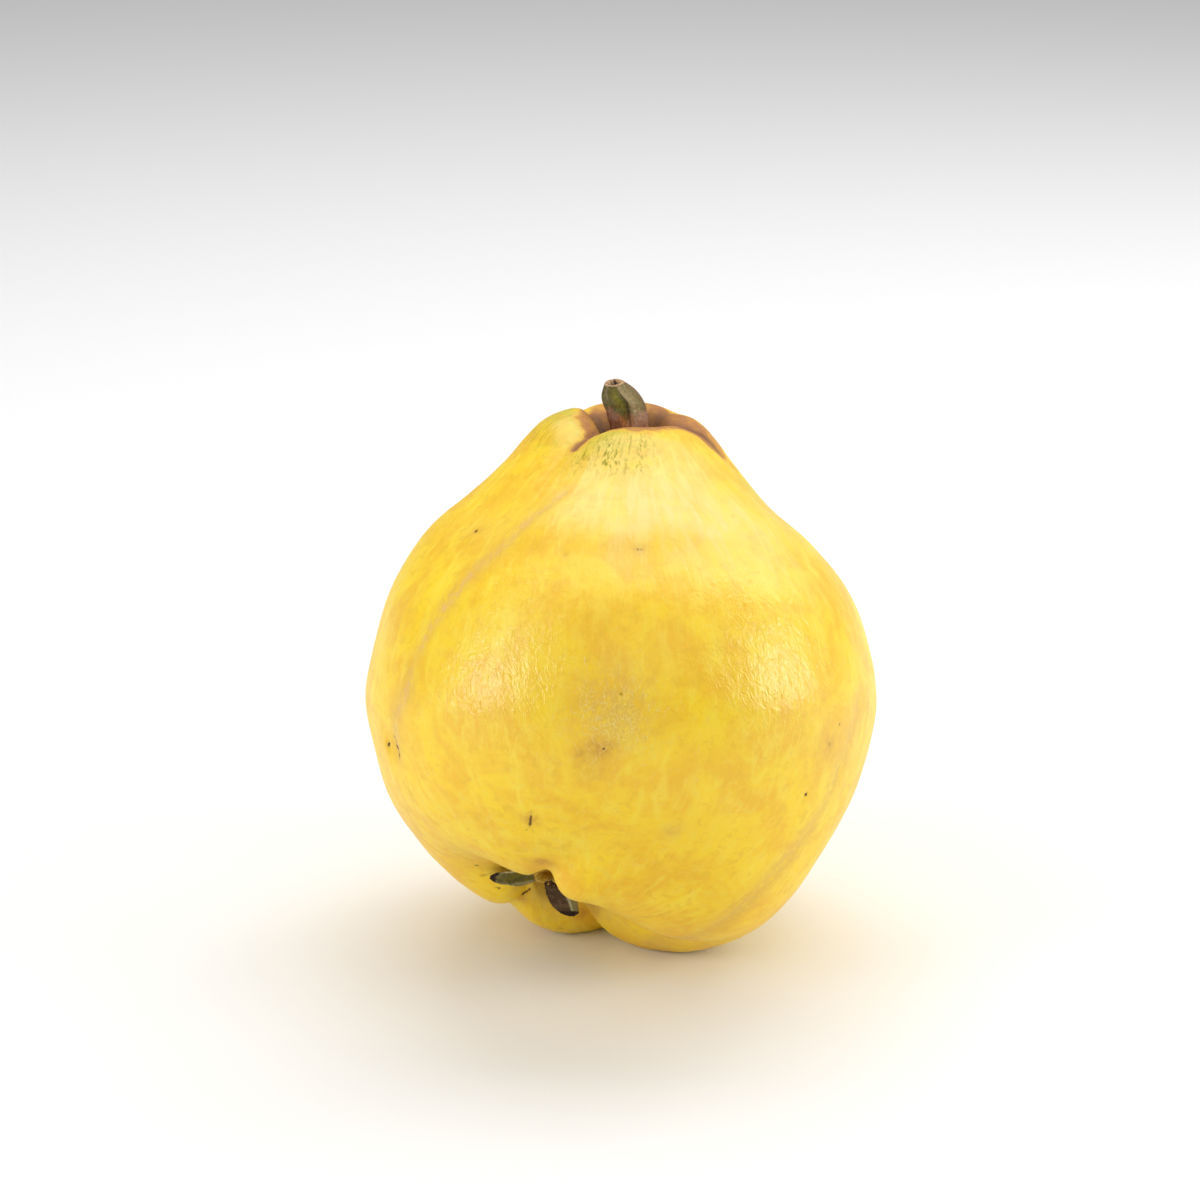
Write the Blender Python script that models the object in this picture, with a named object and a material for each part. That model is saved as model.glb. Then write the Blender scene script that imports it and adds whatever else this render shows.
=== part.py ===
"""A ripe quince lying on its blossom end: the fruit, its stem stub, and the dried calyx in its basin.

All lengths below are in millimetres. The growth frame has Z up the core, from the calyx to the stem, X to
the right and Y to the back. Azimuths are in degrees round the core, 0 at the front and positive to the
right. The fruit lies with its core leaning back, so that it stands on a small flat spot on its base, and
the middle of that spot is the origin.
"""

from math import cos, pi, radians, sin

import bmesh
import bpy
import numpy as np
from mathutils import Euler, Matrix, Vector

MM = 0.001

# How the fruit lies: the lean of its core, how far the ground is below the growth frame's origin, and
# where the middle of the flat spot is on the ground, from below that origin.
LEAN_BACK = 20.0
GROUND_DEPTH = 47.0
GROUND_SOFTNESS = 0.4
REST_SPOT = (-4.0, 7.0)

# Half outline of the fruit, as (radius, height), from the middle of the stem cavity to the basin's.
OUTLINE = (
    (0.0, 41.2),
    (4.0, 41.3),
    (4.6, 42.6),
    (5.4, 45.4),
    (7.8, 48.4),
    (11.2, 48.9),
    (14.8, 47.4),
    (18.2, 43.9),
    (21.0, 40.3),
    (26.9, 33.3),
    (34.2, 26.3),
    (41.9, 15.8),
    (45.6, 2.0),
    (44.9, -8.0),
    (41.4, -19.5),
    (35.6, -28.2),
    (28.0, -35.2),
    (20.0, -39.4),
    (13.5, -39.6),
    (9.0, -36.0),
    (6.7, -31.1),
    (0.0, -29.4),
)
CAVITY_SHIFT = (1.5, 0.0)
BASIN_SHIFT = (-12.0, -2.0)
SHOULDER_TILT = (0.0, 0.33)
BASE_TILT = (-0.15, -0.50)
BELLY_AT = 0.5

# The five valleys between the ribs: azimuth and depth, each at the stem end, the belly and the calyx end.
VALLEYS = (
    ((20, 2, -24), (0.0, 1.5, 5.5)),
    ((88, 74, 88), (5.0, 0.9, 3.5)),
    ((125, 140, 168), (2.0, 0.6, 6.0)),
    ((-122, -140, -125), (3.0, 0.8, 5.0)),
    ((-33, -50, -75), (5.6, 1.0, 4.0)),
)
VALLEY_WIDTH = (11.0, 20.0, 10.0)
VALLEY_KEENNESS = (0.3, 2.0, 0.3)

# Swellings and dents: azimuth, elevation from the growth frame's origin, angular reach, and height.
SWELLINGS = (
    (38, -5, 28, 1.2),
    (-32, -3, 28, 1.0),
    (72, -62, 25, 6.5),
    (-45, -72, 12, 2.6),
    (-72, -58, 13, -4.3),
    (-140, -65, 14, -1.0),
    (-90, 44, 19, 2.3),
    (100, -40, 20, -2.5),
    (-22, -58, 7, 1.5),
    (-68, 76, 8, 0.8),
    (-85, 83, 4.5, 1.2),
    (52, 74, 7, -1.0),
    (-22, 47, 12, 2.2),
    (15, 47, 12, 2.2),
    (52, 47, 12, 1.8),
    (-34, -61, 5, 0.8),
)
FRUIT_SEGMENTS = 80
FRUIT_RINGS = 48

# Half outline of the stem above its foot. It curves to the left, with five keels and a sloping cut.
STEM_OUTLINE = (
    (0.0, 11.9), (0.7, 12.0), (1.1, 12.7), (1.5, 12.9), (2.2, 12.3), (3.1, 10.9), (3.6, 9.0),
    (3.65, 7.2), (3.4, 5.4), (3.3, 4.2), (3.5, 3.0), (3.4, 1.0), (2.6, 0.0), (0.0, 0.0),
)
STEM_FOOT = (1.5, 0.0, 41.9)
STEM_CURVE = 0.0175
STEM_KEELS = 5
KEEL_AZIMUTH = 12.0
KEEL_HEIGHT = 0.07
CUT_TILT = (0.10, 0.42)
CUT_DROP = 0.75

# The calyx's seat in the basin, and the half outline of the ring that the sepals grow from.
CALYX_SEAT = (-12.2, -2.6, -31.2)
CALYX_TURN = (153.4, 8.5, 0.0)
RING_OUTLINE = (
    (0.0, 0.7),
    (2.1, 0.8),
    (2.4, 1.7),
    (2.9, 1.9),
    (3.3, 1.2),
    (3.1, 0.3),
    (2.2, 0.0),
    (0.0, 0.0),
)

# The sepals: azimuth, length, half width, rise at the root and at the tip, and roll round their length.
SEPALS = (
    (-82, 9.4, 2.3, 14, 20, 12),
    (156, 10.2, 2.7, 12, 24, 0),
    (98, 7.4, 2.4, 12, 45, 0),
    (36, 4.8, 2.0, 30, 75, 0),
    (-22, 4.0, 1.9, 30, 70, 0),
)
SEPAL_ROOT = 1.6
SEPAL_THICKNESS = 0.8
SEPAL_CHANNEL = 0.7
SEPAL_TEETH = 5

# The tuft in the middle of the calyx.
STAMENS = 15
STAMEN_LENGTH = 1.4
STAMEN_THICKNESS = 0.7
TUFT_RADIUS = 1.1
TUFT_FOOT = 1.3


def smooth_step(x):
    x = np.clip(x, 0, 1)
    return x * x * (3 - 2 * x)


def along(values, t):
    """The values at the stem end, the belly and the calyx end, read at t from 0 to 1."""
    stem, belly, calyx = values
    rise = smooth_step(1 - t / 0.45)
    fall = smooth_step((t - 0.6) / 0.3)
    return stem * rise + belly * (1 - rise - fall) + calyx * fall


def smooth_path(points, t):
    """Catmull-Rom curve through the points at t from 0 to 1, which runs faster where they lie far apart."""
    points = np.array(points, float)
    knots = np.linalg.norm(np.diff(points, axis=0), axis=1) ** 0.5
    knots = np.concatenate([[0], np.cumsum(knots)]) / knots.sum()
    padded = np.vstack([points[1] * (-1, 1), points, points[-2] * (-1, 1)])
    span = np.clip(np.searchsorted(knots, t, side="right") - 1, 0, len(points) - 2)
    u = ((t - knots[span]) / (knots[span + 1] - knots[span]))[:, None]
    a, b, c, d = (padded[span + i] for i in range(4))
    return 0.5 * (2 * b + (c - a) * u + (2 * a - 5 * b + 4 * c - d) * u**2 + (3 * b - a - 3 * c + d) * u**3)


def fruit_skin(t, azimuth):
    """Points of the skin in the growth frame, for t from 0 at the stem cavity to 1 at the basin."""
    radius, height = smooth_path(OUTLINE, t).T
    off_pole = radius / (radius + 3.0)

    depth = np.zeros_like(t)
    for azimuths, depths in VALLEYS:
        away = (azimuth - along(azimuths, t) + 180) % 360 - 180
        away = away / along(VALLEY_WIDTH, t)
        keen = along(VALLEY_KEENNESS, t)
        depth += along(depths, t) * np.exp(keen - np.sqrt(away**2 + keen**2))
    radius = radius - depth * off_pole * along((0.0, 1.0, 0.3), t)
    height = height - depth * off_pole * along((1.0, 0.3, -1.0), t)

    x = radius * np.sin(np.radians(azimuth))
    y = -radius * np.cos(np.radians(azimuth))
    up = smooth_step(1 - t / BELLY_AT)
    down = smooth_step((t - BELLY_AT) / (1 - BELLY_AT))
    height = height + up * (SHOULDER_TILT[0] * x + SHOULDER_TILT[1] * y)
    height = height + down * (BASE_TILT[0] * x + BASE_TILT[1] * y)
    x = x + CAVITY_SHIFT[0] * up**2 + BASIN_SHIFT[0] * down**2
    y = y + CAVITY_SHIFT[1] * up**2 + BASIN_SHIFT[1] * down**2
    skin = np.stack([x, y, height], axis=1)

    toward = skin / np.linalg.norm(skin, axis=1)[:, None]
    for around, level, reach, push in SWELLINGS:
        a, e = radians(around), radians(level)
        out = np.array([sin(a) * cos(e), -cos(a) * cos(e), sin(e)])
        away = np.degrees(np.arccos(np.clip(toward @ out, -1, 1)))
        skin += np.exp(-((away / reach) ** 2))[:, None] * push * toward
    return rest_on_ground(skin)


def rest_on_ground(skin):
    """The skin pressed flat where it would pass through the ground, with a soft edge to the flat spot."""
    down = np.array([0.0, sin(radians(LEAN_BACK)), -cos(radians(LEAN_BACK))])
    above = GROUND_DEPTH - skin @ down
    soft = np.clip((above + GROUND_SOFTNESS) / (2 * GROUND_SOFTNESS), 0, 1)
    pressed = np.where(above > GROUND_SOFTNESS, above, GROUND_SOFTNESS * soft**2)
    return skin + np.outer(above - pressed, down)


def stem_skin(t, azimuth):
    """Points of the stem in the growth frame, for t from 0 at its cut to 1 at its foot."""
    radius, height = smooth_path(STEM_OUTLINE, t).T
    keel = np.cos(np.radians(STEM_KEELS * (azimuth - KEEL_AZIMUTH)))
    radius = radius * (1 + KEEL_HEIGHT * keel * np.clip(radius / 2.5, 0, 1))
    x = radius * np.sin(np.radians(azimuth))
    y = -radius * np.cos(np.radians(azimuth))
    top = smooth_step((height - 7.5) / 5.0)
    foot = smooth_step((6.0 - height) / 6.0)
    curve = STEM_CURVE * height**2
    height = height + top * (CUT_TILT[0] * x + CUT_TILT[1] * y - CUT_DROP) + SHOULDER_TILT[1] * y * foot
    x = x - curve
    return np.stack([x, y, height], axis=1) + STEM_FOOT


def ring_skin(t, azimuth):
    """Points of the calyx ring in the seat's frame, for t from 0 inside its cup to 1 under it."""
    radius, height = smooth_path(RING_OUTLINE, t).T
    turn = np.radians(azimuth)
    return np.stack([radius * np.sin(turn), radius * np.cos(turn), height], axis=1)


def sepal_skin(sepal):
    """The function that gives the points of one sepal in the seat's frame, from its root to its tip."""
    azimuth, length, half_width, rise, end_rise, roll = sepal
    start, bend = radians(rise), radians(end_rise - rise)

    def skin(t, turn):
        saw = (t * SEPAL_TEETH) % 1 - 0.5
        width = half_width * np.sin(pi * t**0.8) ** 0.55 * (1 + 0.16 * saw * smooth_step(3 * t))
        side = np.sin(np.radians(turn))
        face = np.cos(np.radians(turn))
        thick = 0.5 * SEPAL_THICKNESS * np.sign(face) * np.abs(face) ** 0.6 * np.sin(pi * t) ** 0.35
        angle = start + bend * t
        out = SEPAL_ROOT + length * (np.sin(angle) - sin(start)) / bend
        up = 1.1 - length * (np.cos(angle) - cos(start)) / bend
        lift = SEPAL_CHANNEL * side**2 * np.sin(pi * t) + thick
        out = out - lift * np.sin(angle)
        up = up + lift * np.cos(angle)
        a = radians(azimuth)
        up = up - width * side * sin(radians(roll))
        across = width * side * cos(radians(roll))
        return np.stack([out * sin(a) + across * cos(a), out * cos(a) - across * sin(a), up], axis=1)

    return skin


def move_to(bm, place):
    """Moves a UV sphere's vertices to place(t, azimuth), t running from 0 at its top pole to 1 at its bottom."""
    points = np.array([v.co for v in bm.verts], float)
    t = np.arccos(np.clip(points[:, 2] / np.linalg.norm(points, axis=1), -1, 1)) / pi
    azimuth = np.degrees(np.arctan2(points[:, 0], -points[:, 1]))
    for vert, point in zip(bm.verts, place(t, azimuth)):
        vert.co = Vector(point) * MM


def shaped_ball(name, segments, rings, place, material, parent):
    """A closed body made from a UV sphere whose vertices place() moves."""
    bm = bmesh.new()
    bmesh.ops.create_uvsphere(bm, u_segments=segments, v_segments=rings, radius=1.0)
    move_to(bm, place)
    bmesh.ops.recalc_face_normals(bm, faces=bm.faces)
    return add_body(name, bm, material, parent)


def add_body(name, bm, material, parent):
    mesh = bpy.data.meshes.new(name)
    bm.to_mesh(mesh)
    bm.free()
    mesh.shade_smooth()
    mesh.materials.append(material)
    body = bpy.data.objects.new(name, mesh)
    body.parent = parent
    parent.users_collection[0].objects.link(body)
    return body


def fuse(body, pieces):
    """Joins the pieces to the body, as one closed body."""
    group = bpy.data.collections.new("pieces")
    bpy.context.scene.collection.children.link(group)
    for piece in pieces:
        group.objects.link(piece)
    union = body.modifiers.new("union", "BOOLEAN")
    union.operation = "UNION"
    union.operand_type = "COLLECTION"
    union.collection = group
    mesh = bpy.data.meshes.new_from_object(body.evaluated_get(bpy.context.evaluated_depsgraph_get()))
    body.modifiers.clear()
    body.data = mesh
    mesh.name = body.name
    for piece in pieces:
        bpy.data.objects.remove(piece)
    bpy.data.collections.remove(group)


def make_material(name, colour, roughness):
    material = bpy.data.materials.new(name)
    material.use_nodes = True
    shader = material.node_tree.nodes["Principled BSDF"]
    shader.inputs["Base Color"].default_value = (*colour, 1)
    shader.inputs["Roughness"].default_value = roughness
    shader.inputs["Metallic"].default_value = 0
    return material


def make_calyx(seat):
    """The ring with its five sepals, joined as one dry body."""
    material = make_material("dry_sepal", (0.20, 0.19, 0.10), 0.75)
    ring = shaped_ball("calyx", 24, 14, ring_skin, material, seat)
    sepals = [shaped_ball("sepal", 12, 20, sepal_skin(sepal), material, seat) for sepal in SEPALS]
    fuse(ring, sepals)


def make_stamens(seat):
    """A tuft of stamens on a small boss, set at the golden angle and leaning outwards."""
    material = make_material("dry_stamen", (0.07, 0.045, 0.03), 0.85)
    bm = bmesh.new()
    bmesh.ops.create_cone(
        bm, cap_ends=True, segments=16, radius1=TUFT_RADIUS * MM, radius2=TUFT_RADIUS * 0.8 * MM, depth=0.9 * MM,
        matrix=Matrix.Translation((0, 0, (TUFT_FOOT + 0.45) * MM)))
    tuft = add_body("stamens", bm, material, seat)
    pieces = []
    for i in range(STAMENS):
        ring = ((i + 0.5) / STAMENS) ** 0.5
        turn = radians(137.5 * i)
        lean = radians(30 * ring)
        length = STAMEN_LENGTH * (1 + 0.15 * sin(2.4 * i))
        bm = bmesh.new()
        bmesh.ops.create_cone(
            bm, cap_ends=True, segments=5, radius1=0.5 * STAMEN_THICKNESS * MM,
            radius2=0.4 * STAMEN_THICKNESS * MM, depth=length * MM,
            matrix=Matrix.Translation((0, 0, 0.5 * length * MM)))
        stamen = add_body("stamen", bm, material, seat)
        foot = 0.75 * TUFT_RADIUS * ring
        stamen.location = (foot * sin(turn) * MM, foot * cos(turn) * MM, (TUFT_FOOT + 0.3) * MM)
        stamen.rotation_euler = Euler((-lean, 0, -turn))
        pieces.append(stamen)
    fuse(tuft, pieces)


def main():
    for old in list(bpy.data.objects):
        bpy.data.objects.remove(old)
    collection = bpy.data.collections.new("quince")
    bpy.context.scene.collection.children.link(collection)

    growth = bpy.data.objects.new("growth_frame", None)
    collection.objects.link(growth)
    growth.rotation_euler = (radians(-LEAN_BACK), 0, 0)
    growth.location = (-REST_SPOT[0] * MM, -REST_SPOT[1] * MM, GROUND_DEPTH * MM)

    skin = make_material("skin", (0.86, 0.60, 0.06), 0.42)
    shaped_ball("fruit", FRUIT_SEGMENTS, FRUIT_RINGS, fruit_skin, skin, growth)
    wood = make_material("stem_wood", (0.17, 0.14, 0.06), 0.6)
    shaped_ball("stem", 40, 24, stem_skin, wood, growth)

    seat = bpy.data.objects.new("calyx_seat", None)
    collection.objects.link(seat)
    seat.parent = growth
    seat.location = Vector(CALYX_SEAT) * MM
    seat.rotation_euler = [radians(turn) for turn in CALYX_TURN]
    make_calyx(seat)
    make_stamens(seat)


main()
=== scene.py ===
"""The quince as it looks: fine skin, stem, calyx and down over the solids of the part, on a pale floor.

Lengths are in millimetres in the growth frame, as in the part's own source: Z runs up the core, X to the
right and Y to the back. Azimuths are in degrees round the core, 0 at the front and positive to the right.
"""

from math import cos, pi, radians, sin

import bpy
import numpy as np
from mathutils import Matrix, Vector


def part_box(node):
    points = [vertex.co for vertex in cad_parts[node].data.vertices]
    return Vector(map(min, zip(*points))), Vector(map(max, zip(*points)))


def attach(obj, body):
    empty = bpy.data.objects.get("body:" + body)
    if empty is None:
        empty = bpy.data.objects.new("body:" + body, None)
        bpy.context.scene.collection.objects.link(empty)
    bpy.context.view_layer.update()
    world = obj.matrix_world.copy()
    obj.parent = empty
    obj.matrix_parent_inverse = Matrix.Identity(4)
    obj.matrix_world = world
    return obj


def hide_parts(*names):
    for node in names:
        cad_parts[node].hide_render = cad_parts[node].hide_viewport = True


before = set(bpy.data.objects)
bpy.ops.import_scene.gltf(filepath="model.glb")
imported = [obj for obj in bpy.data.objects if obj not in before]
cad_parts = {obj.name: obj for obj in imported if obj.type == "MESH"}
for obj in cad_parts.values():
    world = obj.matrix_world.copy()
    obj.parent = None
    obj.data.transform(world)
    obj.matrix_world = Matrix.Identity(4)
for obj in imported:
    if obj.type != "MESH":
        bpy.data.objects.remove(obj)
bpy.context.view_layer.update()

MM = 0.001

# -------- the form, as in the part's source

LEAN_BACK = 20.0
GROUND_DEPTH = 47.0
GROUND_SOFTNESS = 0.4
REST_SPOT = (-4.0, 7.0)

OUTLINE = (
    (0.0, 41.2), (4.0, 41.3), (4.6, 42.6), (5.4, 45.4), (7.8, 48.4), (11.2, 48.9), (14.8, 47.4),
    (18.2, 43.9), (21.0, 40.3), (26.9, 33.3), (34.2, 26.3), (41.9, 15.8), (45.6, 2.0), (44.9, -8.0),
    (41.4, -19.5), (35.6, -28.2), (28.0, -35.2), (20.0, -39.4), (13.5, -39.6), (9.0, -36.0),
    (6.7, -31.1), (0.0, -29.4),
)
CAVITY_SHIFT = (1.5, 0.0)
BASIN_SHIFT = (-12.0, -2.0)
SHOULDER_TILT = (0.0, 0.33)
BASE_TILT = (-0.15, -0.5)
BELLY_AT = 0.5
VALLEYS = (
    ((20, 2, -24), (0.0, 1.5, 5.5)),
    ((88, 74, 88), (5.0, 0.9, 3.5)),
    ((125, 140, 168), (2.0, 0.6, 6.0)),
    ((-122, -140, -125), (3.0, 0.8, 5.0)),
    ((-33, -50, -75), (5.6, 1.0, 4.0)),
)
VALLEY_WIDTH = (11.0, 20.0, 10.0)
VALLEY_KEENNESS = (0.3, 2.0, 0.3)
SWELLINGS = (
    (38, -5, 28, 1.2), (-32, -3, 28, 1.0), (72, -62, 25, 6.5), (-45, -72, 12, 2.6),
    (-72, -58, 13, -4.3), (-140, -65, 14, -1.0), (-90, 44, 19, 2.3), (100, -40, 20, -2.5),
    (-22, -58, 7, 1.5), (-68, 76, 8, 0.8), (-85, 83, 4.5, 1.2), (52, 74, 7, -1.0),
    (-22, 47, 12, 2.2), (15, 47, 12, 2.2), (52, 47, 12, 1.8), (-34, -61, 5, 0.8),
)

STEM_OUTLINE = (
    (0.0, 11.9), (0.7, 12.0), (1.1, 12.7), (1.5, 12.9), (2.2, 12.3), (3.1, 10.9), (3.6, 9.0),
    (3.65, 7.2), (3.4, 5.4), (3.3, 4.2), (3.5, 3.0), (3.4, 1.0), (2.6, 0.0), (0.0, 0.0),
)
STEM_FOOT = (1.5, 0.0, 41.9)
STEM_CURVE = 0.0175
STEM_KEELS = 5
KEEL_AZIMUTH = 12.0
KEEL_HEIGHT = 0.07
CUT_TILT = (0.1, 0.42)
CUT_DROP = 0.75

CALYX_SEAT = (-12.2, -2.6, -31.2)
CALYX_TURN = (153.4, 8.5, 0.0)
RING_OUTLINE = (
    (0.0, 0.7), (2.1, 0.8), (2.4, 1.7), (2.9, 1.9), (3.3, 1.2), (3.1, 0.3), (2.2, 0.0), (0.0, 0.0),
)
SEPALS = (
    (-82, 9.4, 2.3, 14, 20, 12),
    (156, 10.2, 2.7, 12, 24, 0),
    (98, 7.4, 2.4, 12, 45, 0),
    (36, 4.8, 2.0, 30, 75, 0),
    (-22, 4.0, 1.9, 30, 70, 0),
)
SEPAL_ROOT = 1.6
SEPAL_THICKNESS = 0.8
SEPAL_CHANNEL = 0.7
SEPAL_TEETH = 5
STAMENS = 15
TUFT_RADIUS = 1.1
TUFT_FOOT = 1.3
STAMEN_LENGTH = 1.4


def smooth_step(x):
    x = np.clip(x, 0, 1)
    return x * x * (3 - 2 * x)


def along(values, t):
    """The values at the stem end, the belly and the calyx end, read at t from 0 to 1."""
    stem, belly, calyx = values
    rise = smooth_step(1 - t / 0.45)
    fall = smooth_step((t - 0.6) / 0.3)
    return stem * rise + belly * (1 - rise - fall) + calyx * fall


def smooth_path(points, t):
    """Catmull-Rom curve through the points at t from 0 to 1, which runs faster where they lie far apart."""
    points = np.array(points, float)
    knots = np.linalg.norm(np.diff(points, axis=0), axis=1) ** 0.5
    knots = np.concatenate([[0], np.cumsum(knots)]) / knots.sum()
    padded = np.vstack([points[1] * (-1, 1), points, points[-2] * (-1, 1)])
    span = np.clip(np.searchsorted(knots, t, side="right") - 1, 0, len(points) - 2)
    u = ((t - knots[span]) / (knots[span + 1] - knots[span]))[:, None]
    a, b, c, d = (padded[span + i] for i in range(4))
    return 0.5 * (2 * b + (c - a) * u + (2 * a - 5 * b + 4 * c - d) * u**2 + (3 * b - a - 3 * c + d) * u**3)


def valley_depth(t, azimuth):
    depth = np.zeros_like(t)
    for azimuths, depths in VALLEYS:
        away = (azimuth - along(azimuths, t) + 180) % 360 - 180
        away = away / along(VALLEY_WIDTH, t)
        keen = along(VALLEY_KEENNESS, t)
        depth += along(depths, t) * np.exp(keen - np.sqrt(away**2 + keen**2))
    return depth


def fruit_skin(t, azimuth):
    """Points of the skin in the growth frame, for t from 0 at the stem cavity to 1 at the basin."""
    radius, height = smooth_path(OUTLINE, t).T
    depth = valley_depth(t, azimuth) * radius / (radius + 3.0)
    radius = radius - depth * along((0.0, 1.0, 0.3), t)
    height = height - depth * along((1.0, 0.3, -1.0), t)

    x = radius * np.sin(np.radians(azimuth))
    y = -radius * np.cos(np.radians(azimuth))
    up = smooth_step(1 - t / BELLY_AT)
    down = smooth_step((t - BELLY_AT) / (1 - BELLY_AT))
    height = height + up * (SHOULDER_TILT[0] * x + SHOULDER_TILT[1] * y)
    height = height + down * (BASE_TILT[0] * x + BASE_TILT[1] * y)
    x = x + CAVITY_SHIFT[0] * up**2 + BASIN_SHIFT[0] * down**2
    y = y + CAVITY_SHIFT[1] * up**2 + BASIN_SHIFT[1] * down**2
    skin = np.stack([x, y, height], axis=1)

    toward = skin / np.linalg.norm(skin, axis=1)[:, None]
    for around, level, reach, push in SWELLINGS:
        skin += (bulge(toward, around, level, reach) * push)[:, None] * toward
    return skin


def direction(azimuth, elevation):
    a, e = radians(azimuth), radians(elevation)
    return sin(a) * cos(e), -cos(a) * cos(e), sin(e)


def bulge(toward, around, level, reach):
    """1 in the direction of an azimuth and elevation, fading to 0 over an angular reach."""
    away = np.degrees(np.arccos(np.clip(toward @ np.array(direction(around, level)), -1, 1)))
    return np.exp(-((away / reach) ** 2))


def rest_on_ground(skin):
    """The skin pressed flat where it would pass through the ground, with a soft edge to the flat spot."""
    down = np.array([0.0, sin(radians(LEAN_BACK)), -cos(radians(LEAN_BACK))])
    above = GROUND_DEPTH - skin @ down
    soft = np.clip((above + GROUND_SOFTNESS) / (2 * GROUND_SOFTNESS), 0, 1)
    pressed = np.where(above > GROUND_SOFTNESS, above, GROUND_SOFTNESS * soft**2)
    return skin + np.outer(above - pressed, down)


GROWTH = Matrix.Translation((-REST_SPOT[0] * MM, -REST_SPOT[1] * MM, GROUND_DEPTH * MM)) @ Matrix.Rotation(
    radians(-LEAN_BACK), 4, "X")
SEAT = GROWTH @ Matrix.Translation(Vector(CALYX_SEAT) * MM) @ (
    Matrix.Rotation(radians(CALYX_TURN[1]), 4, "Y") @ Matrix.Rotation(radians(CALYX_TURN[0]), 4, "X"))


# -------- tools

def lattice(cells, seed):
    """A repeatable value from -1 to 1 for each whole-numbered cell."""
    value = cells[..., 0] * 374761393 + cells[..., 1] * 668265263 + cells[..., 2] * 1274126177 + seed * 974711
    value = (value ^ (value >> 13)) * 1103515245
    value = (value ^ (value >> 16)) & 0xFFFFFF
    return value / 0x7FFFFF - 1.0


def noise(points, size, seed, octaves=1):
    """Smooth noise from about -1 to 1, whose lumps are about the given size."""
    total = np.zeros(len(points))
    for octave in range(octaves):
        scaled = points / (size / 2**octave)
        cell = np.floor(scaled).astype(np.int64)
        part = smooth_step(scaled - cell)
        value = np.zeros(len(points))
        for corner in np.ndindex(2, 2, 2):
            weight = np.prod(np.where(corner, part, 1 - part), axis=1)
            value += weight * lattice(cell + corner, seed + octave)
        total += value / 2**octave
    return total


def line_distance(points, path):
    """Distance of each point from a path of straight runs."""
    path = np.array(path, float)
    nearest = np.full(len(points), np.inf)
    for start, end in zip(path[:-1], path[1:]):
        run = end - start
        along_run = np.clip(((points - start) @ run) / max(run @ run, 1e-9), 0, 1)
        nearest = np.minimum(nearest, np.linalg.norm(points - start - along_run[:, None] * run, axis=1))
    return nearest


def hump(value, centre, reach):
    """1 where the value is at the centre, fading to 0 over the reach."""
    return np.exp(-(((value - centre) / reach) ** 2))


def near(points, centre, reach, further=0.0):
    """1 at the centre, fading to 0 over the reach, with a value added to each distance."""
    return hump(np.linalg.norm(points - centre, axis=1) + further, 0, reach)


def unit(vectors):
    return vectors / np.linalg.norm(vectors, axis=-1)[..., None]


def polar(radius, turn, height):
    """Points round an axis."""
    return np.stack([radius * np.sin(turn), radius * np.cos(turn), height], axis=1)


def ball_grid(rings, segments):
    """t and azimuth of a grid over a ball: its top pole, the rings between, and its bottom pole."""
    t = np.repeat(np.arange(1, rings) / rings, segments)
    azimuth = np.tile(np.arange(segments) * 360.0 / segments, rings - 1)
    azimuth = (azimuth + 180) % 360 - 180
    return np.concatenate([[0], t, [1]]), np.concatenate([[0], azimuth, [0]])


def ball_faces(rings, segments, mirrored=False):
    ring = np.arange(segments)
    after = np.roll(ring, -1)
    if mirrored:
        ring, after = after, ring
    faces = [(0, 1 + a, 1 + b) for a, b in zip(ring, after)]
    for k in range(rings - 2):
        high = 1 + k * segments
        low = high + segments
        faces += [(high + a, low + a, low + b, high + b) for a, b in zip(ring, after)]
    last = 1 + (rings - 1) * segments
    high = last - segments
    faces += [(high + a, last, high + b) for a, b in zip(ring, after)]
    return faces


def ball(rings, segments, mirrored=False):
    """t, azimuth and faces of the grid; the faces are turned over where the points are mirrored."""
    return *ball_grid(rings, segments), ball_faces(rings, segments, mirrored)


def place(points, matrix):
    """Points in millimetres taken to the world, in metres."""
    matrix = np.array(matrix)
    return points * MM @ matrix[:3, :3].T + matrix[:3, 3]


def add_object(name, data):
    thing = bpy.data.objects.new(name, data)
    bpy.context.scene.collection.objects.link(thing)
    return thing


def add_piece(name, points, faces, material, replaced=None):
    """A piece of the dressed part: a smooth mesh that rides on the part's one body."""
    mesh = bpy.data.meshes.new(name)
    mesh.from_pydata(points.tolist(), [], faces)
    mesh.shade_smooth()
    mesh.materials.append(material)
    piece = add_object(name, mesh)
    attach(piece, "root")
    if replaced:
        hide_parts(replaced)
    return piece


def paint(piece, name, values, kind="FLOAT", field="value"):
    """Keeps a value for each vertex, for the materials to read."""
    layer = piece.data.attributes.new(name, kind, "POINT")
    layer.data.foreach_set(field, np.ascontiguousarray(values, np.float32).ravel())


def paint_tint(piece, colours):
    """Keeps a colour for each vertex."""
    rgba = np.hstack([np.clip(colours, 0, 1), np.ones((len(colours), 1))])
    paint(piece, "tint", rgba, "FLOAT_COLOR", "color")


def mixed(base, *layers):
    """Colours for each vertex: a base colour under layers of (colour, mask)."""
    colours = np.atleast_2d(np.array(base, float))
    for colour, mask in layers:
        mask = np.reshape(np.clip(mask, 0, 1), (-1, 1))
        colours = colours + (np.array(colour) - colours) * mask
    return colours


def mesh_normals(points, faces):
    """The direction that the mesh faces at each of its points."""
    mesh = bpy.data.meshes.new("normals")
    mesh.from_pydata(points.tolist(), [], faces)
    normals = np.empty(len(points) * 3, np.float32)
    mesh.vertex_normals.foreach_get("vector", normals)
    bpy.data.meshes.remove(mesh)
    return normals.reshape(-1, 3).astype(float)


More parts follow.
